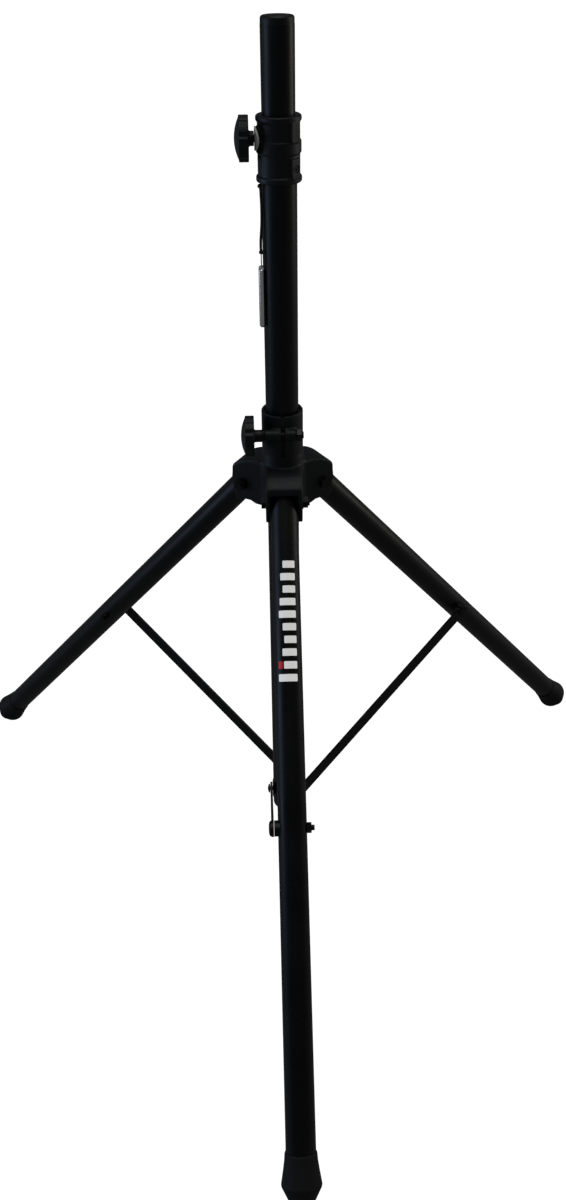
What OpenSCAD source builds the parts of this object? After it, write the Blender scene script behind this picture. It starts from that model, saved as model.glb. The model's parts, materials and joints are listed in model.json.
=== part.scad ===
// Speaker tripod stand: a sliding crown folds three legs, three flat straps tie them to the column,
// and a telescoping pole carries the loudspeaker. Upright on the floor, the front leg along -Y.

/* [Column] */
// Outer tube diameter
tube_d = 38; // [37.5:0.1:38.5]
// Outer tube wall
tube_wall = 1.2; // [1:0.1:1.3]
// Height of the outer tube's lower end
tube_low = 56; // [54:1:58]
// Height of the outer tube's upper end, inside the collar
tube_top = 963; // [960:1:966]

/* [Pole] */
// Pole diameter where the loudspeaker sits
pole_d = 35; // [34.9:0.05:35.1]
// Pole wall
pole_wall = 1.5; // [1.2:0.1:2]
// Height of the pole's end cap, lowered
pole_top = 1092; // [1080:1:1110]
// Thickness of the visible cap
cap_h = 8; // [6:1:12]

/* [Collar] */
// Underside of the collar
collar_low = 930; // [929:1:931]
// Top of the collar
collar_top = 998; // [997:1:999]
// Height of the collar knob's axis
upper_knob_h = 974; // [972:1:976]

/* [Crown] */
// Distance from the column's axis to a leg pivot
pivot_r = 45; // [44:0.5:47]
// Height of the leg pivots, legs spread
pivot_h = 567; // [560:1:575]
// Outer diameter of the sleeve
sleeve_d = 48.5; // [47:0.5:49]
// Outer width of an arm across its cheeks
arm_w = 43; // [42:0.5:44]
// Height of the clamp bolt's axis
clamp_h = 645; // [643:1:648]

/* [Legs] */
// Leg tube diameter
leg_d = 32; // [31.5:0.1:32.2]
// Leg tube wall
leg_wall = 1.5; // [1.2:0.1:2]
// Angle between a spread leg and the vertical
leg_angle = 40.6; // [39:0.1:42]
// Distance down the leg from its pivot to the strap's bolt
strap_at = 365; // [355:1:375]

/* [Straps] */
// Strap width
strap_w = 15.5; // [14:0.5:17]
// Strap thickness
strap_t = 3; // [2.5:0.1:3]
// Height of the straps' lower bolts, in the column
strap_h = 77; // [75:1:78]

/* [Hidden] */
$fn = 64;

FRONT = 0;
RIGHT = 1;
LEFT = 2;
far = 400;         // longer than anything that it cuts

// Fits
run_fit = 0.1;     // sliding tube in its bush
pin_fit = 0.05;    // bolt in a turning part
air = 0.3;         // side gap between parts that pass each other

tube_r = tube_d / 2;
tube_bore = tube_r - tube_wall;
pole_r = pole_d / 2;
slide_r = pole_r - 0.2;              // the sliding length is drawn thinner than the socket length
pole_bore = pole_r - pole_wall;
guide_low = 104;
pole_low = guide_low + 14;
bush_r = 20.5;                       // outer radius of every plastic bush
hole_gap = 100;

// Bolts: M8 through the leg pivots and the clamps, M6 through the straps
m8 = 4;
m6 = 3;
insert_r = 4.2;                      // threaded inserts in the bottom plug

// Legs
leg_r = leg_d / 2;
leg_bore = leg_r - leg_wall;
leg_up = 10;                         // how far the tube runs past its pivot
boot_r = 21.5;
boot_neck = 17.2;
boot_h = 22;                         // height of the middle of the boot's widest ring
leg_l = (pivot_h - boot_h) / cos(leg_angle);
foot_r = pivot_r + leg_l * sin(leg_angle);

// The origin is on the floor in the middle of the outline, so the column stands behind it
column_y = foot_r / 4;

// Straps, each on the right of its leg for someone looking outwards
strap_top_r = pivot_r + strap_at * sin(leg_angle);
strap_top_h = pivot_h - strap_at * cos(leg_angle);
strap_angle = atan2(strap_top_r, strap_top_h - strap_h);
strap_l = norm([strap_top_r, strap_top_h - strap_h]);
band_r = 20.1;
strap_in = band_r + air;             // from the leg's middle to the strap's inner face
strap_out = strap_in + strap_t;
strap_end = 9;

// Crown
sleeve_r = sleeve_d / 2;
sleeve_top = 667;
crown_low = 545;
cheek_in = leg_r + 0.5;
cheek_out = arm_w / 2;
clamp_y = -25.5;                     // the clamp bolt runs across the front of the sleeve
ear_r = 7.3;
left_ear = 22;
right_ear = 16;
split_w = 3.6;

// Collar
collar_r = 22.35;
saddle_in = 23.7;
saddle_out = 25.4;
saddle_r = 12.3;
screw_angle = -44;
screw_heights = [945, 980];

// Knobs, measured outwards from the column's axis
knob_r = 23.7;
upper_rim = 31;
lower_rim = 33;
rim_h = 10.5;
dome_r = 21.5;
dome_h = 4.8;
dome_ball = (dome_r * dome_r + dome_h * dome_h) / (2 * dome_h);
lobes = 10;

// Lanyard: a short cord from the collar's underside to the steel pin that locks the raised pole
lanyard = [-20.6, -9];
cord_d = 3;
knot_r = 2.5;
knot_top = 927.2;
knot_low = 856.5;
cord_route = [[-19.9, -8.7, 926], [-19.7, -8.6, 921], [-19.5, -8.5, 916], [-19.3, -8.4, 911],
    [-19.2, -8.4, 906], [-19.2, -8.4, 901], [-19.2, -8.4, 896], [-19.3, -8.4, 891],
    [-19.5, -8.5, 886], [-19.8, -8.6, 881], [-20.2, -8.8, 876], [-20.6, -9, 871],
    [-20.8, -9.1, 866], [-20.8, -9.1, 861], [-20.6, -9, 857]];
link_top = 856;
link_l = 17;
link_r = 2.4;
link_wire = 0.7;
pin_top = 838.9;
pin_l = 67;
pin_gap = 2.1;
pin_wire = 1.2;
pin_r = 3.3;

// ---- Places ----

module on_column(h = 0) translate([0, column_y, h]) children();

// Outwards along +X in the frame of one leg
module on_leg(k) on_column() rotate([0, 0, 270 + 120 * k]) children();

module at_pivot() translate([pivot_r, 0, pivot_h]) children();

// Down the spread leg along -Z, from its pivot
module along_leg(k) on_leg(k) at_pivot() rotate([0, -leg_angle, 0]) children();

// Up the strap along +Z, from its lower bolt
module along_strap(k) on_leg(k) translate([0, 0, strap_h]) rotate([0, strap_angle, 0]) children();

// Outwards along +Z, with the column's axis at 0
module at_upper_knob() on_column(upper_knob_h) rotate([0, -90, 0]) children();
module at_lower_knob() on_column(clamp_h) translate([0, clamp_y, 0]) rotate([0, -90, 0]) children();

// ---- Shared shapes ----

// A cylinder across the leg, from one distance to another along +Y
module across(r, from, to) translate([0, from, 0]) rotate([-90, 0, 0]) cylinder(r = r, h = to - from);

// A hexagon across the leg, with two of its flats facing in and out
module hex_across(flats, from, to)
    translate([0, from, 0]) rotate([-90, 30, 0]) cylinder(d = flats / cos(30), h = to - from, $fn = 6);

// A shallow domed head across the leg, from a distance outwards along -Y
module domed_head(r, h, from) translate([0, from, 0]) rotate([90, 0, 0])
    turned([[0, 0], [r, 0], [r, 0.3 * h], [r - 0.4 * h, 0.7 * h], [r - 1.3 * h, 0.93 * h], [0, h]]);

module pipe(r, bore, h) difference() {
    cylinder(r = r, h = h);
    translate([0, 0, -1]) cylinder(r = bore, h = h + 2);
}

// Points on an arc about c, for turned and sawn outlines
function arc(c, r, from, to, n = 6) =
    [for (i = [0:n]) let (a = from + (to - from) * i / n) c + r * [cos(a), sin(a)]];

module turned(outline) rotate_extrude() polygon(outline);

// The upper or lower half of a wire ring that stands in the XZ plane
module half_ring(r, wire, up) intersection() {
    rotate([90, 0, 0]) rotate_extrude() translate([r, 0]) circle(r = wire);
    translate([-far / 2, -far / 2, up ? 0 : -far]) cube(far);
}

// ---- Column ----

// Round holes across the foot of the column, one for each strap and one for the band's screw
module strap_holes(r, to) for (k = [FRONT, RIGHT, LEFT])
    on_leg(k) translate([0, 0, strap_h]) across(r, -far, -to);
module screw_hole() on_column(strap_h) rotate([0, 90, 0]) cylinder(r = 2, h = far);

module outer_tube() color("#17181a") difference() {
    on_column(tube_low) pipe(tube_r, tube_bore, tube_top - tube_low);
    strap_holes(m6, 0);
    screw_hole();
}

module bottom_plug() color("#101112") difference() {
    on_column(tube_low) {
        translate([0, 0, -4])
            turned(concat([[0, 0]], arc([tube_r - 3, 3], 3, -90, 0), [[tube_r, 4], [0, 4]]));
        cylinder(r = tube_bore, h = 38);
    }
    strap_holes(insert_r, 9);
    screw_hole();
}

module bottom_bracket() color("#1b1c1e") difference() {
    on_column(strap_h - 11) pipe(band_r, tube_r, 24);
    strap_holes(m6, 0);
    screw_hole();
}

module bracket_screw() color("#222326") on_column(strap_h) rotate([0, 90, 0]) {
    translate([0, 0, 12]) cylinder(r = 2, h = band_r - 12);
    intersection() {
        translate([0, 0, band_r - 1]) cylinder(r = 3.6, h = 2.8);
        translate([-20, 0, 0]) rotate([0, 90, 0]) pipe(30, band_r, 40);
    }
}

module bracket_bolts() color("#222326") for (k = [FRONT, RIGHT, LEFT])
    on_leg(k) translate([0, 0, strap_h]) union() {
        across(m6, -strap_out - air, -12);
        domed_head(6.2, 3.4, -strap_out - air);
    }

module bracket_inserts() color("#b8923f") for (k = [FRONT, RIGHT, LEFT])
    on_leg(k) translate([0, 0, strap_h]) difference() {
        across(insert_r, -17, -9);
        across(m6, -far, far);
    }

// ---- Collar at the top of the outer tube ----

module upper_collar() color("#23272a") on_column() difference() {
    union() {
        translate([0, 0, collar_low]) turned(concat([[tube_r - 1, 0]],
            arc([22.2, 2], 2, -90, 0), arc([22.2, 5], 2, 0, 90),
            [[collar_r, 7], [collar_r, 28.5]], arc([22.2, 31], 1.5, -90, 0), arc([22.2, 41.5], 1.5, 0, 90),
            [[collar_r, 43], [collar_r, 60.5]], arc([21.8, 63.5], 2.2, -60, 0), arc([21.8, 65.8], 2.2, 0, 90),
            [[tube_r - 1, 68]]));
        for (h = [6, 42]) rotate([0, 0, screw_angle]) translate([tube_r, -6, collar_low + h])
            cube([5.4, 12, 20]);
        translate([0, 0, upper_knob_h]) intersection() {
            rotate([0, -90, 0]) cylinder(r = saddle_r, h = far);
            translate([0, 0, -20]) cylinder(r = saddle_in, h = 40);
        }
    }
    cylinder(r = tube_r, h = tube_top);
    cylinder(r = bush_r - 1, h = far * 3);
    translate([0, 0, tube_top]) cylinder(r = bush_r, h = far);
    translate([0, 0, upper_knob_h]) rotate([0, -90, 0]) cylinder(r = m8 + air, h = far);
    for (h = screw_heights) translate([0, 0, h]) rotate([0, 0, screw_angle]) rotate([0, 90, 0]) {
        translate([0, 0, bush_r]) cylinder(r = 2, h = far);
        translate([0, 0, 23.2]) cylinder(r = 3.8, h = far);
    }
}

module collar_liner() color("#3a3c3e") on_column() difference() {
    translate([0, 0, tube_top]) pipe(bush_r, slide_r + run_fit, collar_top - tube_top - 0.6);
    translate([0, 0, upper_knob_h]) rotate([0, -90, 0]) cylinder(r = m8 + air, h = far);
}

module collar_screws() color("#0e0f10") on_column() for (h = screw_heights)
    translate([0, 0, h]) rotate([0, 0, screw_angle]) rotate([0, 90, 0]) difference() {
        union() {
            translate([0, 0, bush_r]) cylinder(r = 2, h = 3);
            translate([0, 0, 23.2]) cylinder(r = 3.4, h = 1);
        }
        translate([0, 0, 23.6]) cylinder(r = 1.7, h = 5, $fn = 6);
    }

module knob_saddle() color("#d6d8da") on_column(upper_knob_h) intersection() {
    rotate([0, -90, 0]) pipe(saddle_r, m8 + air, 60);
    translate([0, 0, -20]) pipe(saddle_out, saddle_in, 40);
}

// ---- Pole ----

module pole() color("#1d1e20") on_column() difference() {
    union() {
        translate([0, 0, pole_low]) cylinder(r = slide_r, h = collar_top + 2 - pole_low);
        translate([0, 0, collar_top + 2]) cylinder(r = pole_r, h = pole_top - cap_h - collar_top - 2);
    }
    cylinder(r = pole_bore, h = pole_top);
    for (i = [0:4]) translate([0, 0, 880 - i * hole_gap])
        rotate([90, 0, 0]) cylinder(r = 4, h = far, center = true);
}

module pole_cap() color("#141517") on_column(pole_top - cap_h) union() {
    turned(concat([[0, 0], [pole_r - 0.2, 0]], [[pole_r - 0.2, cap_h - 3]],
        arc([pole_r - 3.2, cap_h - 3], 3, 0, 90), [[0, cap_h]]));
    translate([0, 0, -22]) cylinder(r = pole_bore, h = 23);
}

module pole_guide() color("#3a3c3e") on_column(guide_low) union() {
    cylinder(r = tube_bore - run_fit, h = pole_low - guide_low);
    cylinder(r = pole_bore, h = pole_low - guide_low + 20);
}

// ---- Knobs ----

// A hub from hub_low up to a lobed rim at rim_low, under a domed face
module knob(hub_r, hub_low, rim_low, turn) difference() {
    union() {
        translate([0, 0, hub_low]) cylinder(r = hub_r, h = rim_low - hub_low + 1);
        translate([0, 0, rim_low]) rotate([0, 0, turn]) difference() {
            cylinder(r = knob_r, h = rim_h);
            for (i = [0:lobes - 1]) rotate([0, 0, (i + 0.5) * 360 / lobes])
                translate([knob_r + 3.4, 0, -1]) cylinder(r = 4.8, h = rim_h + 2);
        }
        translate([0, 0, rim_low + rim_h]) intersection() {
            cylinder(r = dome_r, h = dome_h);
            translate([0, 0, dome_h - dome_ball]) sphere(r = dome_ball);
        }
    }
    cylinder(r = m8, h = rim_low + rim_h - 3);
}

module upper_knob() color("#202326") at_upper_knob() knob(7.7, saddle_out + 0.2, upper_rim, 18);

module upper_knob_stud() color("#a9abae") at_upper_knob()
    translate([0, 0, 20]) cylinder(r = m8, h = upper_rim + rim_h - 3 - 20);

module upper_clamp_pad() color("#b8923f") at_upper_knob() intersection() {
    cylinder(r = m8, h = 20);
    translate([-20, 0, 0]) rotate([0, 90, 0]) pipe(30, slide_r + 0.2, 40);
}

module lower_knob() color("#202326") at_lower_knob() knob(7.2, left_ear + 1.8, lower_rim, 0);

module lower_clamp_washer() color("#8d8f92") at_lower_knob()
    translate([0, 0, left_ear]) pipe(7.6, m8 + pin_fit, 1.5);

module lower_clamp_bolt() color("#a9abae") at_lower_knob()
    translate([0, 0, -right_ear - 8]) cylinder(r = m8, h = right_ear + 8 + lower_rim + rim_h - 3);

module clamp_nut() color("#c4c6c9") at_lower_knob() translate([0, 0, -right_ear - 5.5]) difference() {
    union() {
        cylinder(d = 13 / cos(30), h = 5.5, $fn = 6);
        translate([0, 0, 4.5]) cylinder(r = 7.1, h = 1);
    }
    translate([0, 0, -1]) cylinder(r = m8 + pin_fit, h = 8);
}

// ---- Crown ----

// Side view of one arm, outwards to the right; its lower edge is arched and its outer corners are round
arm_side = concat([[12, 543], [27, 543.5], [33, 546.5], [42, 546.5]], arc([48, 552], 8.5, -100, 0, 4),
    [[59, 572], [58.6, 588]], arc([54, 588], 4.4, 10, 70, 3),
    [[50, 596], [42, 599.6], [34, 601.2], [12, 601.5]]);

module arm() translate([0, cheek_out, 0]) rotate([90, 0, 0]) linear_extrude(arm_w) polygon(arm_side);

// The room that a leg sweeps between spread and folded
module leg_room() translate([pivot_r, cheek_in, pivot_h]) rotate([90, 0, 0]) linear_extrude(cheek_in * 2)
    union() {
        circle(r = leg_r + 3.2);
        polygon([[-leg_r - 3.2, 0], [-leg_r - 3.2, -80], [70, -80],
            (leg_r + air) * [cos(leg_angle), sin(leg_angle)] + 60 * [sin(leg_angle), -cos(leg_angle)],
            (leg_r + air) * [cos(leg_angle), sin(leg_angle)]]);
    }

module crown() color("#26292c") on_column() difference() {
    union() {
        translate([0, 0, crown_low]) cylinder(r = sleeve_r, h = sleeve_top - crown_low);
        translate([0, 0, crown_low + 1])
            turned([[0, 0], [27.5, 0], [27.5, 46], [26.2, 56], [24.7, 67], [0, 67]]);
        for (k = [FRONT, RIGHT, LEFT]) rotate([0, 0, 270 + 120 * k]) arm();
        translate([-left_ear, clamp_y, clamp_h]) rotate([0, 90, 0])
            cylinder(r = ear_r, h = left_ear + right_ear);
    }
    translate([0, 0, crown_low - 10]) cylinder(r = bush_r, h = far);
    for (k = [FRONT, RIGHT, LEFT]) rotate([0, 0, 270 + 120 * k]) {
        leg_room();
        at_pivot() across(m8, -far / 2, far / 2);
    }
    translate([-split_w / 2, -far, 615]) cube([split_w, far - 10, far]);
    translate([-far / 2, clamp_y, clamp_h]) rotate([0, 90, 0]) cylinder(r = m8 + 0.1, h = far);
}

module crown_liners() color("#3a3c3e") on_column() for (h = [crown_low, sleeve_top - 22])
    translate([0, 0, h]) pipe(bush_r, tube_r + run_fit, 19);

module leg_pivot_bolts() color("#222326") for (k = [FRONT, RIGHT, LEFT])
    on_leg(k) at_pivot() union() {
        across(m8, -cheek_out, cheek_out + 8.5);
        hex_across(13, -cheek_out - 5, -cheek_out);
    }

module leg_pivot_nuts() color("#222326") for (k = [FRONT, RIGHT, LEFT])
    on_leg(k) at_pivot() difference() {
        union() {
            hex_across(13, cheek_out, cheek_out + 6.5);
            across(8, cheek_out, cheek_out + 1);
        }
        across(m8, 0, far);
    }

// ---- Legs ----

module leg(k) color("#1a1b1d") along_leg(k) difference() {
    translate([0, 0, -leg_l + 4]) pipe(leg_r, leg_bore, leg_l - 4 + leg_up);
    across(m8 + pin_fit, -far, far);
    translate([0, 0, -strap_at]) across(m6, -far, far);
}

module leg_plug(k) color("#3a3c3e") along_leg(k) difference() {
    translate([0, 0, -25]) cylinder(r = leg_bore, h = 25 + leg_up);
    across(m8 + pin_fit, -far, far);
}

module foot(k) color("#121314") difference() {
    along_leg(k) difference() {
        translate([0, 0, -leg_l]) turned(concat([[0, -22.1]], arc([7, -16.6], 5.5, -90, -28, 3),
            arc([boot_r - 4, 0], 4, -28, 12, 3), [[boot_neck + 2, 13], [boot_neck + 0.6, 22]],
            [[boot_neck, 29], [boot_neck - 0.6, 31], [0, 31]]));
        translate([0, 0, -leg_l + 4]) cylinder(r = leg_r, h = far);
    }
    translate([-far * 2, -far * 2, -far]) cube([far * 4, far * 4, far]);
}

module strap_stud(k) color("#222326") along_leg(k) translate([0, 0, -strap_at])
    across(m6, air - strap_in, leg_r + 8.4);

module strap_nut(k) color("#222326") along_leg(k) translate([0, 0, -strap_at]) difference() {
    hex_across(10, leg_r, leg_r + 5);
    across(m6, 0, far);
}

module strap_spacer(k) color("#2c2e30") along_leg(k) translate([0, 0, -strap_at]) difference() {
    across(8.6, air - strap_in, -leg_r + 3);
    across(m6, -far, 0);
    translate([0, 0, -50]) cylinder(r = leg_r, h = 100);
}

// ---- Straps ----

module strap(k) color("#2a2c2f") along_strap(k) translate([0, -strap_in, 0]) rotate([90, 0, 0])
    linear_extrude(strap_t) difference() {
        union() {
            circle(r = strap_end);
            translate([0, strap_l]) circle(r = strap_end);
            translate([-strap_w / 2, 0]) square([strap_w, strap_l]);
        }
        circle(r = m6 + pin_fit);
        translate([0, strap_l]) circle(r = m6);
    }

// The head half of the strap's upper bolt; the other half stays in the leg
module strap_bolt(k) color("#222326") along_strap(k) translate([0, 0, strap_l]) union() {
    across(m6, -strap_out, -strap_in);
    domed_head(8.3, 2.8, -strap_out);
}

// ---- Lanyard and locking pin ----

module at_lanyard(h) on_column(h) translate([lanyard[0], lanyard[1], 0]) children();

module lanyard_knots() color("#0c0c0d") for (h = [knot_low, knot_top]) at_lanyard(h) sphere(r = knot_r);

// A tube of eight sides swept along the route
function unit(v) = v / norm(v);
function ring(p, d) = let (u = unit(cross(d, [0, 1, 0])), w = cross(u, d))
    [for (i = [0:7]) p + cord_d / 2 * (cos(i * 45) * u + sin(i * 45) * w)];

module swept_cord(route) {
    n = len(route);
    dirs = [for (i = [0:n - 1]) unit(route[min(i + 1, n - 1)] - route[max(i - 1, 0)])];
    points = [for (i = [0:n - 1]) each ring(route[i], dirs[i])];
    sides = [for (i = [0:n - 2], j = [0:7]) let (a = i * 8 + j, b = i * 8 + (j + 1) % 8)
        [a, b, b + 8, a + 8]];
    polyhedron(points, concat([[for (j = [7:-1:0]) j]], sides, [[for (j = [0:7]) (n - 1) * 8 + j]]));
}

module lanyard_cord() color("#0c0c0d") on_column() swept_cord(cord_route);

module pin_link() color("#cfd1d4") at_lanyard(link_top) rotate([0, 0, 90]) {
    translate([0, 0, -link_r]) half_ring(link_r, link_wire, true);
    translate([0, 0, -link_l + link_r]) half_ring(link_r, link_wire, false);
    for (side = [-1, 1]) translate([side * link_r, 0, -link_l + link_r])
        cylinder(r = link_wire, h = link_l - 2 * link_r);
}

module safety_pin() color("#cfd1d4") at_lanyard(pin_top) union() {
    half_ring(pin_gap, pin_wire, true);
    for (side = [-1, 1]) translate([side * pin_gap, 0, -1.2]) cylinder(r = pin_wire, h = 1.2);
    translate([0, 0, -pin_l]) turned([[0, 0], [pin_r - 1, 0], [pin_r, 2], [pin_r, pin_l - 1.5],
        [pin_r - 0.5, pin_l - 1], [0, pin_l - 1]]);
}

module front_leg() leg(FRONT);
module front_leg_plug() leg_plug(FRONT);
module front_foot() foot(FRONT);
module front_strap_stud() strap_stud(FRONT);
module front_strap_nut() strap_nut(FRONT);
module front_strap_spacer() strap_spacer(FRONT);
module front_strap() strap(FRONT);
module front_strap_bolt() strap_bolt(FRONT);
module right_leg() leg(RIGHT);
module right_leg_plug() leg_plug(RIGHT);
module right_foot() foot(RIGHT);
module right_strap_stud() strap_stud(RIGHT);
module right_strap_nut() strap_nut(RIGHT);
module right_strap_spacer() strap_spacer(RIGHT);
module right_strap() strap(RIGHT);
module right_strap_bolt() strap_bolt(RIGHT);
module left_leg() leg(LEFT);
module left_leg_plug() leg_plug(LEFT);
module left_foot() foot(LEFT);
module left_strap_stud() strap_stud(LEFT);
module left_strap_nut() strap_nut(LEFT);
module left_strap_spacer() strap_spacer(LEFT);
module left_strap() strap(LEFT);
module left_strap_bolt() strap_bolt(LEFT);

outer_tube();
bottom_plug();
bottom_bracket();
bracket_screw();
bracket_bolts();
bracket_inserts();
upper_collar();
collar_liner();
collar_screws();
knob_saddle();
pole();
pole_cap();
pole_guide();
upper_clamp_pad();
upper_knob();
upper_knob_stud();
crown();
crown_liners();
leg_pivot_bolts();
leg_pivot_nuts();
clamp_nut();
lower_clamp_washer();
lower_knob();
lower_clamp_bolt();
front_leg();
front_leg_plug();
front_foot();
front_strap_stud();
front_strap_nut();
front_strap_spacer();
front_strap();
front_strap_bolt();
right_leg();
right_leg_plug();
right_foot();
right_strap_stud();
right_strap_nut();
right_strap_spacer();
right_strap();
right_strap_bolt();
left_leg();
left_leg_plug();
left_foot();
left_strap_stud();
left_strap_nut();
left_strap_spacer();
left_strap();
left_strap_bolt();
lanyard_knots();
lanyard_cord();
pin_link();
safety_pin();
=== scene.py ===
# Speaker tripod stand: the looks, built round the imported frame.
import json
import math

import bmesh
import bpy
from mathutils import Matrix, Vector


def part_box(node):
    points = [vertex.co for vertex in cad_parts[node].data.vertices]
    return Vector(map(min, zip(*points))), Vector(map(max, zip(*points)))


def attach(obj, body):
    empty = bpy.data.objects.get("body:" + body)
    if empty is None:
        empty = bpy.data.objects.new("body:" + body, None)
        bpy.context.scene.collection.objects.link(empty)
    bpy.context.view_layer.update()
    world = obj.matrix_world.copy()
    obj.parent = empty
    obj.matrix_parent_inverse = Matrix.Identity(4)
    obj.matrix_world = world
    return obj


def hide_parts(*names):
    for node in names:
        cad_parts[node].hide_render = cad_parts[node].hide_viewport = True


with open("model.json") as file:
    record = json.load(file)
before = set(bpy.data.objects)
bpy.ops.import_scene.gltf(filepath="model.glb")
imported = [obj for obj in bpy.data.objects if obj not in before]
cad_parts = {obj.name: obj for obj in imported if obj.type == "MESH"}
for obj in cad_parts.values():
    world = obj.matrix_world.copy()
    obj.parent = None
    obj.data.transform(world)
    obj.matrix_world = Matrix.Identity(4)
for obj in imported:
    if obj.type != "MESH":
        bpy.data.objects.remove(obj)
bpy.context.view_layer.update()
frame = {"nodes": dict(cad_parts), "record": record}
nodes = frame["nodes"]
legs = ("front", "right", "left")


# ---- Camera ----
# Stands in front of the stand at head height and looks down at it. It is turned a little
# off the front leg and hangs a little to one side, and its frame sits low on the lens axis.

tube_low, tube_high = (Vector(corner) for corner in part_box("outer_tube"))
column = (tube_low + tube_high) / 2
camera_distance = 1.1746
camera_height = 1.2092
camera_turn = math.radians(1.13)
camera_pitch = math.radians(28.45)
camera_roll = math.radians(-0.73)

camera = bpy.data.objects.new("camera", bpy.data.cameras.new("camera"))
bpy.context.scene.collection.objects.link(camera)
bpy.context.scene.camera = camera
camera.data.lens = 33.3
camera.data.shift_y = -0.1
camera.matrix_world = (
    Matrix.Translation((
        column.x - camera_distance * math.sin(camera_turn),
        column.y - camera_distance * math.cos(camera_turn),
        camera_height,
    ))
    @ Matrix.Rotation(-camera_turn, 4, "Z")
    @ Matrix.Rotation(math.pi / 2 - camera_pitch, 4, "X")
    @ Matrix.Rotation(camera_roll, 4, "Z")
)


# ---- Floor and light ----
# An opal floor lit from below, dim light from above, and a tall soft box on each side of
# the stand, the left one a little cooler. They rim the black tubes and leave the rest dark.

bpy.context.scene.view_settings.view_transform = "Standard"


def linear(code):
    """sRGB hex to linear RGBA."""
    channels = [int(code[i:i + 2], 16) / 255 for i in (1, 3, 5)]
    return [c / 12.92 if c <= 0.04045 else ((c + 0.055) / 1.055) ** 2.4 for c in channels] + [1]


def add_node(tree, kind, inputs=None, **settings):
    """A shader node; an input is given a value, or a socket that is linked to it."""
    node = tree.nodes.new("ShaderNode" + kind)
    for name, value in settings.items():
        setattr(node, name, value)
    for name, value in (inputs or {}).items():
        if isinstance(value, bpy.types.NodeSocket):
            tree.links.new(value, node.inputs[name])
        else:
            node.inputs[name].default_value = value
    return node


def new_material(name):
    """An empty material, its node tree, and metres in the part's own frame."""
    material = bpy.data.materials.new(name)
    material.use_nodes = True
    tree = material.node_tree
    tree.nodes.clear()
    place = add_node(tree, "TexCoord").outputs["Object"]
    return material, tree, place


def finish_material(tree, **inputs):
    """The Principled shader, with its inputs named in plain words, wired to the output."""
    named = {key.replace("_", " ").title().replace("Ior", "IOR"): value
             for key, value in inputs.items()}
    shader = add_node(tree, "BsdfPrincipled", named)
    add_node(tree, "OutputMaterial", {"Surface": shader.outputs["BSDF"]})


def noise(tree, place, size_mm, detail=3.0, stretch=(1, 1, 1)):
    """Noise whose lumps are about size_mm across, as a value from 0 to 1."""
    mapping = add_node(tree, "Mapping", {"Vector": place, "Scale": stretch})
    return add_node(tree, "TexNoise", {
        "Vector": mapping.outputs["Vector"], "Scale": 1000 / size_mm, "Detail": detail,
    }).outputs["Fac"]


def spread(tree, value, low, high, start=0.3, stop=0.7):
    """Maps a value from start..stop to low..high."""
    return add_node(tree, "MapRange", {
        "Value": value, "From Min": start, "From Max": stop, "To Min": low, "To Max": high,
    }).outputs["Result"]


def blend_colours(tree, factor, first, second):
    """Mixes two hex colours, or a socket and a hex colour, by a factor's socket."""
    mix = add_node(tree, "Mix", data_type="RGBA")
    for socket, value in ((0, factor), (6, first), (7, second)):
        if isinstance(value, bpy.types.NodeSocket):
            tree.links.new(value, mix.inputs[socket])
        else:
            mix.inputs[socket].default_value = linear(value)
    return mix.outputs[2]


def bump(tree, height, depth_mm, under=None):
    """A bump from a height of 0 to 1 that stands depth_mm at its full height."""
    inputs = {"Height": height, "Distance": depth_mm / 1000, "Strength": 1.0}
    if under is not None:
        inputs["Normal"] = under
    return add_node(tree, "Bump", inputs).outputs["Normal"]


def opal_acrylic():
    """Opal acrylic sheet lit from below: even and white, with a very slight tooth."""
    material, tree, place = new_material("opal_acrylic")
    tooth = noise(tree, place, 6)
    # The lens sees the sheet at its full brightness; the black stand mirrors it much less
    seen = add_node(tree, "LightPath").outputs["Is Camera Ray"]
    finish_material(tree, base_color=blend_colours(tree, tooth, "#3c3c3c", "#404040"),
                    roughness=0.9, emission_color=linear("#ffffff"),
                    emission_strength=spread(tree, seen, 0.08, 1.05, 0, 1),
                    normal=bump(tree, tooth, 0.05))
    return material


floor_mesh = bpy.data.meshes.new("floor")
floor_half = 30
floor_mesh.from_pydata(
    [(x * floor_half, y * floor_half, 0) for x, y in ((-1, -1), (1, -1), (1, 1), (-1, 1))],
    [], [(0, 1, 2, 3)])
floor = bpy.data.objects.new("floor", floor_mesh)
bpy.context.scene.collection.objects.link(floor)
floor_mesh.materials.append(opal_acrylic())

# The white surround is what the lens sees; it lights and mirrors in the stand much less
world = bpy.data.worlds.new("studio")
bpy.context.scene.world = world
world.use_nodes = True
seen = add_node(world.node_tree, "LightPath").outputs["Is Camera Ray"]
surround = world.node_tree.nodes["Background"]
surround.inputs["Color"].default_value = linear("#ffffff")
glow = add_node(world.node_tree, "MapRange", {"Value": seen, "To Min": 0.06, "To Max": 1.1})
world.node_tree.links.new(glow.outputs["Result"], surround.inputs["Strength"])


def soft_box(name, place, aim, size, power, colour):
    """A large rectangular light that points from one place to another."""
    light = bpy.data.lights.new(name, "AREA")
    light.shape = "RECTANGLE"
    light.size, light.size_y = size
    light.energy = power
    light.color = linear(colour)[:3]
    lamp = bpy.data.objects.new(name, light)
    lamp.location = place
    lamp.rotation_euler = (Vector(aim) - Vector(place)).to_track_quat("-Z", "Y").to_euler()
    bpy.context.scene.collection.objects.link(lamp)


middle = (0, column.y, 0.6)
soft_box("left_box", (-2.4, -0.1, 1.0), middle, (1.0, 2.2), 16, "#bcd8ff")
soft_box("right_box", (2.4, 0.7, 1.3), middle, (1.0, 2.2), 14, "#fffaf4")

overhead = bpy.data.lights.new("overhead", "SUN")
overhead.energy = 0.9
overhead.angle = math.radians(50)
overhead_lamp = bpy.data.objects.new("overhead", overhead)
bpy.context.scene.collection.objects.link(overhead_lamp)


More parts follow.
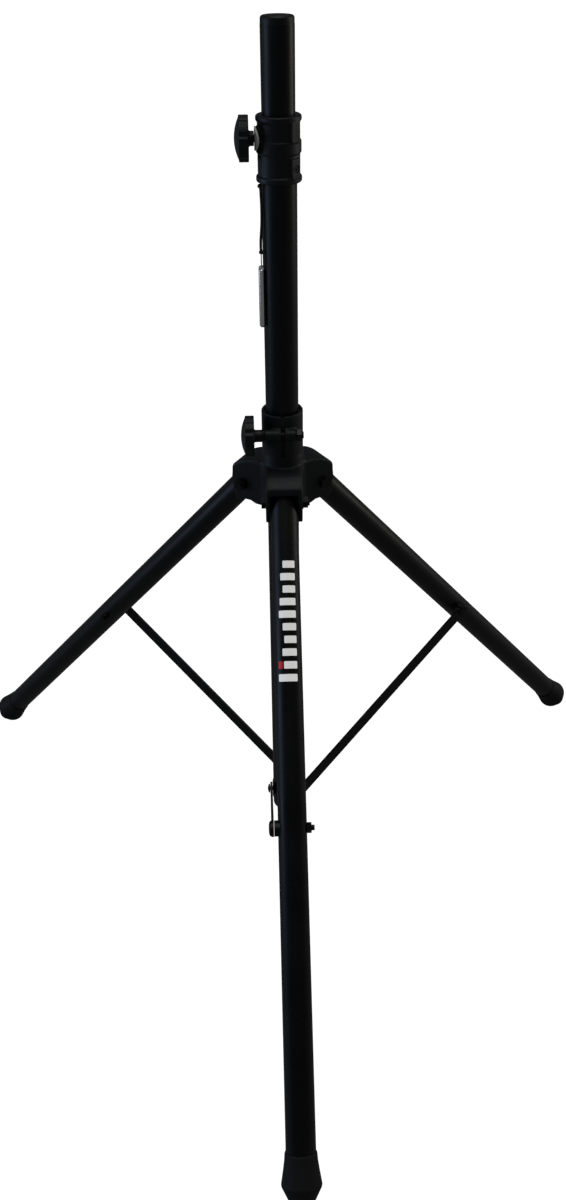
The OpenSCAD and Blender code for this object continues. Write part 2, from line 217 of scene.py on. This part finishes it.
# ---- Lanyard and locking pin ----
# A limp black cord, 3 mm thick, tied through the collar's underside, and a wire link that
# hangs from its lower knot. The bright solid pin on the link locks the raised pole.

def braided_polyester():
    """Braided polyester: dull, with a fine herringbone of crossing strands."""
    material, tree, place = new_material("braided_polyester")
    strand_mm = 1.1
    waves = []
    for tilt in (math.radians(35), math.radians(-35)):
        turned = add_node(tree, "Mapping", {"Vector": place, "Rotation": (0, tilt, 0)})
        waves.append(add_node(tree, "TexWave", {
            "Vector": turned.outputs["Vector"], "Scale": 1000 / strand_mm / math.pi,
            "Distortion": 0.4,
        }, bands_direction="Z").outputs["Fac"])
    weave = add_node(tree, "Math", {0: waves[0], 1: waves[1]}, operation="MAXIMUM").outputs["Value"]
    finish_material(tree, base_color=blend_colours(tree, weave, "#050506", "#1c1c1f"),
                    roughness=0.85, sheen_weight=0.25, sheen_roughness=0.5,
                    normal=bump(tree, weave, 0.15))
    return material


def bright_nickel():
    """Nickel plate on wire: mirror-like, with faint cloudy patches and hairline drawing marks."""
    material, tree, place = new_material("bright_nickel")
    clouds = noise(tree, place, 9)
    lines = noise(tree, place, 0.5, stretch=(1, 1, 0.08))
    finish_material(tree, base_color=blend_colours(tree, clouds, "#dcddde", "#f0f0ee"),
                    metallic=1.0, roughness=spread(tree, clouds, 0.1, 0.2),
                    normal=bump(tree, lines, 0.01))
    return material


def dress(material, *names):
    """Gives CAD nodes their finish."""
    for name in names:
        mesh = nodes[name].data
        if mesh.materials:
            mesh.materials[0] = material
        else:
            mesh.materials.append(material)


cord_diameter = 0.003
# Across and up from the column's axis, in millimetres
cord_route_mm = [
    (-19.9, -8.7, 926), (-19.7, -8.6, 921), (-19.5, -8.5, 916), (-19.3, -8.4, 911),
    (-19.2, -8.4, 906), (-19.2, -8.4, 901), (-19.2, -8.4, 896), (-19.3, -8.4, 891),
    (-19.5, -8.5, 886), (-19.8, -8.6, 881), (-20.2, -8.8, 876), (-20.6, -9, 871),
    (-20.8, -9.1, 866), (-20.8, -9.1, 861), (-20.6, -9, 857),
]
cord_route = [Vector((x / 1000, column.y + y / 1000, z / 1000)) for x, y, z in cord_route_mm]

cord_curve = bpy.data.curves.new("lanyard_line", "CURVE")
cord_curve.dimensions = "3D"
cord_curve.bevel_depth = cord_diameter / 2
cord_curve.bevel_resolution = 4
cord_curve.use_fill_caps = True
spline = cord_curve.splines.new("POLY")
spline.points.add(len(cord_route) - 1)
for point, place in zip(spline.points, cord_route):
    point.co = (*place, 1)
cord = bpy.data.objects.new("lanyard_line", cord_curve)
bpy.context.scene.collection.objects.link(cord)
cord_finish = braided_polyester()
cord_curve.materials.append(cord_finish)
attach(cord, "lanyard")
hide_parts("lanyard_cord")

dress(cord_finish, "lanyard_knots")
dress(bright_nickel(), "pin_link", "safety_pin")


# ---- Tubes ----
# The column, the pole and the three legs are drawn steel tube under a black powder coat.
# The pole slides in the column, so its coat carries faint rub marks along its length.

def powder_coat(name, rub):
    """Satin epoxy powder coat: near black, with orange peel, a soft gloss and rub marks."""
    material, tree, place = new_material(name)
    # Real peel is about 0.6 mm across; it is drawn at 1.4 mm to show
    peel = noise(tree, place, 1.4, detail=2)
    patches = noise(tree, place, 60, detail=4)
    streaks = noise(tree, place, 2.2, detail=2, stretch=(1, 1, 0.02))
    marks = spread(tree, streaks, 0.0, rub, 0.58, 0.78)
    colour = blend_colours(tree, marks, blend_colours(tree, patches, "#040406", "#08090b"),
                           "#2c2d2f")
    gloss = add_node(tree, "Math", {0: spread(tree, patches, 0.34, 0.44), 1: marks},
                     operation="ADD")
    finish_material(tree, base_color=colour, roughness=gloss.outputs["Value"], ior=1.5,
                    specular_ior_level=0.25, normal=bump(tree, peel, 0.02))
    return material


dress(powder_coat("powder_coat_tube", 0.10), "outer_tube", *(f"{leg}_leg" for leg in legs))
dress(powder_coat("powder_coat_pole", 0.22), "pole")


# ---- Level-meter mark ----
# Cut vinyl stuck along the outer side of the front leg: ten white bars of uneven length, as
# on a level meter, and one red peak bar. Each is 0.12 mm thick with rounded corners, and glows with
# a painted light.

def cut_vinyl_with_painted_glow(name, dull, clean):
    """Vinyl film: an even colour, made brighter by a painted glow, with a soft gloss and a very
    slight ripple.
    """
    material, tree, place = new_material(name)
    grime = noise(tree, place, 8, detail=4)
    film_colour = blend_colours(tree, grime, dull, clean)
    # The emission is a painted glow: the film shines with its own colour, brighter than the lamps
    # light it.
    finish_material(tree, base_color=film_colour, roughness=0.38, specular_ior_level=0.4,
                    emission_color=film_colour, emission_strength=0.3,
                    normal=bump(tree, noise(tree, place, 3), 0.02))
    return material


leg_radius = 0.016
leg_slope = math.radians(40.6)
film = 0.00012
glue = 0.00001
front_pivot = next(Vector(joint["pos_m"]) for joint in frame["record"]["behaviour"]["joints"]
                   if joint["name"] == "front_leg_fold")
down_front_leg = Vector((0, -math.sin(leg_slope), -math.cos(leg_slope)))
out_of_front_leg = Vector((0, -math.cos(leg_slope), math.sin(leg_slope)))


def vinyl_bars(name, bars, material):
    """Bars wrapped round the front leg: each is its millimetres down it and its ends across it."""
    mesh = bmesh.new()
    half_bar, corner, steps = 4.1, 1.0, 24
    for down_mm, left_mm, right_mm in bars:
        centre = front_pivot + down_front_leg * down_mm / 1000
        columns = []
        for i in range(steps + 1):
            # Steps crowd towards the ends, where the corners are
            across = left_mm + (right_mm - left_mm) * (1 - math.cos(math.pi * i / steps)) / 2
            inset = max(0.0, corner - min(across - left_mm, right_mm - across))
            reach = half_bar - corner + math.sqrt(max(0.0, corner * corner - inset * inset))
            turn = across / 1000 / leg_radius
            normal = out_of_front_leg * math.cos(turn) + Vector((1, 0, 0)) * math.sin(turn)
            columns.append([
                mesh.verts.new(centre + normal * (leg_radius + lift)
                               + down_front_leg * side * reach / 1000)
                for side, lift in ((-1, glue), (-1, film), (1, film), (1, glue))])
        for here, there in zip(columns, columns[1:]):
            for i in range(4):
                j = (i + 1) % 4
                mesh.faces.new((here[i], here[j], there[j], there[i]))
        mesh.faces.new(columns[0][::-1])
        mesh.faces.new(columns[-1])
    bmesh.ops.recalc_face_normals(mesh, faces=mesh.faces)
    shaped = bpy.data.meshes.new(name)
    mesh.to_mesh(shaped)
    mesh.free()
    shaped.materials.append(material)
    piece = bpy.data.objects.new(name, shaped)
    bpy.context.scene.collection.objects.link(piece)
    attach(piece, "front_leg")


bar_lengths = (22.5, 15.5, 17, 14.5, 16, 20.5, 19, 15, 17.5, 14.5)
first_bar, bar_pitch, bar_end = 202.5, 14.2, 10.5
vinyl_bars("white_meter_bars",
           [(first_bar - i * bar_pitch, bar_end - length, bar_end)
            for i, length in enumerate(bar_lengths)],
           cut_vinyl_with_painted_glow("white_vinyl_painted_glow", "#f4f4f2", "#fefefc"))
# The red bar is in the second white bar's row
vinyl_bars("red_peak_bar", [(first_bar - bar_pitch, bar_end - 22.5, bar_end - 17)],
           cut_vinyl_with_painted_glow("red_vinyl_painted_glow", "#a8161a", "#c81e22"))


# ---- Pole cap, guide, bushes and plugs ----
# Moulded polyamide: the cap closes the pole, the guide and the bushes carry the sliding
# tubes, and the plugs close the column's foot and the tops of the legs. The upper knob's
# saddle is the same plastic, left white.

def moulded_polyamide(name, dark, light):
    """Moulded polyamide: an even colour with a fine spark-eroded grain and a dull sheen."""
    material, tree, place = new_material(name)
    # The mould's grain is 0.2 mm; it is drawn at 0.7 mm to show
    grain = noise(tree, place, 0.7, detail=2)
    flow = noise(tree, place, 25, detail=3)
    finish_material(tree, base_color=blend_colours(tree, flow, dark, light),
                    roughness=spread(tree, flow, 0.42, 0.55), ior=1.53, specular_ior_level=0.3,
                    normal=bump(tree, grain, 0.05))
    return material


dress(moulded_polyamide("black_polyamide", "#06070a", "#0c0e10"), "pole_cap", "bottom_plug")
dress(moulded_polyamide("grey_polyamide", "#2a2c2e", "#34373a"), "collar_liner", "crown_liners",
      "pole_guide", *(f"{leg}_leg_plug" for leg in legs))
dress(moulded_polyamide("natural_polyamide", "#ecebe6", "#f8f8f6"), "knob_saddle")


# ---- Collar and knobs ----
# The collar is glass-filled polyamide, clamped to the column by two sunk screws. The knobs
# are the same plastic, with ten shallow lobes and a domed face, moulded round steel studs.

def apply_modifiers(piece):
    """Makes the piece's modifiers part of its mesh."""
    depsgraph = bpy.context.evaluated_depsgraph_get()
    shaped = bpy.data.meshes.new_from_object(piece.evaluated_get(depsgraph))
    piece.modifiers.clear()
    piece.data = shaped


def moulded_copy(node, body, name, voxel_mm, rounding, material, rounder=None):
    """A piece with a CAD node's shape and a mould's rounded edges, rounder where rounder is 1."""
    piece = bpy.data.objects.new(name, nodes[node].data.copy())
    bpy.context.scene.collection.objects.link(piece)
    skin = piece.modifiers.new("skin", "REMESH")
    skin.mode = "VOXEL"
    skin.voxel_size = voxel_mm / 1000
    soften = piece.modifiers.new("soften", "SMOOTH")
    soften.factor = 0.5
    soften.iterations = rounding
    apply_modifiers(piece)
    if rounder:
        zone = piece.vertex_groups.new(name="rounder")
        for vertex in piece.data.vertices:
            zone.add([vertex.index], rounder(vertex.co), "REPLACE")
        relax = piece.modifiers.new("relax", "SMOOTH")
        relax.factor = 0.5
        relax.iterations = 40
        relax.vertex_group = zone.name
        apply_modifiers(piece)
        piece.vertex_groups.clear()
    piece.data.name = name
    piece.data.shade_smooth()
    piece.data.materials.clear()
    piece.data.materials.append(material)
    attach(piece, body)
    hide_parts(node)


glass_filled = moulded_polyamide("glass_filled_polyamide", "#080a0d", "#0f1216")
moulded_copy("upper_collar", "column", "collar_shell", 0.7, 2, glass_filled)
moulded_copy("upper_knob", "upper_knob", "upper_grip", 0.7, 3, glass_filled)
moulded_copy("lower_knob", "lower_knob", "lower_grip", 0.7, 3, glass_filled)


# ---- Crown ----
# A sand-cast aluminium hub under textured black enamel. Its sleeve is split at the front
# and two ears carry the clamp bolt; each arm is an upside-down channel round its leg.

def textured_enamel():
    """Textured stove enamel on cast aluminium: pebbled and dull, with a painted highlight that
    makes raised edges a little greyer.
    """
    material, tree, place = new_material("textured_enamel")
    pebbles = noise(tree, place, 1.3, detail=2)
    cast = noise(tree, place, 14, detail=3)
    # Painted highlight: raised edges, found by pointiness, are mixed towards a lighter grey as if
    # they caught the light.
    edges = spread(tree, add_node(tree, "NewGeometry").outputs["Pointiness"], 0.0, 0.6, 0.51, 0.58)
    colour = blend_colours(tree, edges, blend_colours(tree, cast, "#0a0d10", "#101417"), "#1f2326")
    finish_material(tree, base_color=colour, roughness=spread(tree, pebbles, 0.42, 0.6), ior=1.5,
                    specular_ior_level=0.3,
                    normal=bump(tree, cast, 0.25, under=bump(tree, pebbles, 0.07)))
    return material


def arm_roof(place):
    """1 on the arms' roofs and shoulders, where the casting has its largest radii, and 0 below."""
    sleeve_mm, shoulder_mm = 25, 574
    past_sleeve = math.hypot(place.x - column.x, place.y - column.y) * 1000 - sleeve_mm
    past_shoulder = place.z * 1000 - shoulder_mm
    return max(0.0, min(1.0, past_sleeve / 3)) * max(0.0, min(1.0, past_shoulder / 8))


moulded_copy("crown", "crown", "crown_casting", 1.0, 4, textured_enamel(), arm_roof)


# ---- Straps and band ----
# Flat steel straps, punched and painted black, and the steel band round the column's foot
# that they are bolted through. The paint is thin, and it is worn to the metal in specks.

def strap_paint():
    """Thin satin paint on flat steel: black, slightly streaked, chipped in small bright specks."""
    material, tree, place = new_material("strap_paint")
    streaks = noise(tree, place, 5, detail=3)
    chips = spread(tree, noise(tree, place, 3.2, detail=5), 0.0, 1.0, 0.70, 0.73)
    colour = blend_colours(tree, chips, blend_colours(tree, streaks, "#060607", "#0b0b0c"),
                           "#38393a")
    finish_material(tree, base_color=colour, roughness=spread(tree, streaks, 0.34, 0.46),
                    specular_ior_level=0.25, normal=bump(tree, noise(tree, place, 1.6), 0.02))
    return material


dress(strap_paint(), "bottom_bracket", *(f"{leg}_strap" for leg in legs),
      *(f"{leg}_strap_spacer" for leg in legs))


# ---- Fasteners ----
# Black-oxide bolts, studs and nuts hold the legs, straps and clamp. The clamp's nut and the
# upper knob's stud are zinc plated; the clamp pad and the inserts in the plug are brass.

def black_oxide():
    """Black oxide on machined steel: a dark metal with a warm, oily, uneven sheen."""
    material, tree, place = new_material("black_oxide")
    oil = noise(tree, place, 4)
    finish_material(tree, base_color=blend_colours(tree, oil, "#0c0c0e", "#161513"),
                    metallic=0.6, roughness=spread(tree, oil, 0.42, 0.58),
                    normal=bump(tree, noise(tree, place, 0.6), 0.02))
    return material


def zinc_plate():
    """Aged zinc plate: a dark grey metal, dulled by handling, with a bloom and tool marks."""
    material, tree, place = new_material("zinc_plate")
    bloom = noise(tree, place, 3)
    finish_material(tree, base_color=blend_colours(tree, bloom, "#26282a", "#3a3a38"),
                    metallic=1.0, roughness=spread(tree, bloom, 0.26, 0.4),
                    normal=bump(tree, noise(tree, place, 0.5), 0.02))
    return material


def turned_brass():
    """Turned brass: a warm yellow metal, lightly tarnished."""
    material, tree, place = new_material("turned_brass")
    tarnish = noise(tree, place, 2)
    finish_material(tree, base_color=blend_colours(tree, tarnish, "#9a7534", "#c39b52"),
                    metallic=1.0, roughness=spread(tree, tarnish, 0.25, 0.45))
    return material


dress(black_oxide(), "bracket_bolts", "bracket_screw", "leg_pivot_bolts", "leg_pivot_nuts",
      "collar_screws", "lower_clamp_washer", "lower_clamp_bolt",
      *(f"{leg}_strap_{part}" for leg in legs for part in ("bolt", "stud", "nut")))
dress(zinc_plate(), "upper_knob_stud", "clamp_nut")
dress(turned_brass(), "upper_clamp_pad", "bracket_inserts")


def ease_edges(width_mm, *names):
    """Breaks the sharp edges of CAD nodes, as tumbling and plating do."""
    for name in names:
        ease = nodes[name].modifiers.new("eased_edges", "BEVEL")
        ease.width = width_mm / 1000
        ease.segments = 2
        ease.limit_method = "ANGLE"
        ease.angle_limit = math.radians(50)


ease_edges(0.35, "leg_pivot_bolts", "leg_pivot_nuts", "clamp_nut", "lower_clamp_washer",
           *(f"{leg}_strap_{part}" for leg in legs for part in ("nut", "stud")))


# ---- Feet ----
# Moulded rubber boots pushed over the ends of the legs. They are soft and matt, and their
# lower edges pick up a little dust from the floor.

def foot_rubber():
    """Black rubber: matt, very slightly blotchy, with pale dust near the floor."""
    material, tree, place = new_material("foot_rubber")
    blotches = noise(tree, place, 7, detail=4)
    height = add_node(tree, "SeparateXYZ", {"Vector": place}).outputs["Z"]
    dust = add_node(tree, "Math", {
        0: spread(tree, height, 0.25, 0.0, 0.0, 0.012), 1: spread(tree, blotches, 0.2, 1.0),
    }, operation="MULTIPLY").outputs["Value"]
    colour = blend_colours(tree, dust, blend_colours(tree, blotches, "#040405", "#09090a"),
                           "#4c4a46")
    finish_material(tree, base_color=colour, roughness=spread(tree, blotches, 0.6, 0.75),
                    specular_ior_level=0.3, normal=bump(tree, noise(tree, place, 0.9), 0.05))
    return material


rubber = foot_rubber()
for leg in legs:
    moulded_copy(f"{leg}_foot", f"{leg}_leg", f"{leg}_boot", 0.8, 2, rubber)
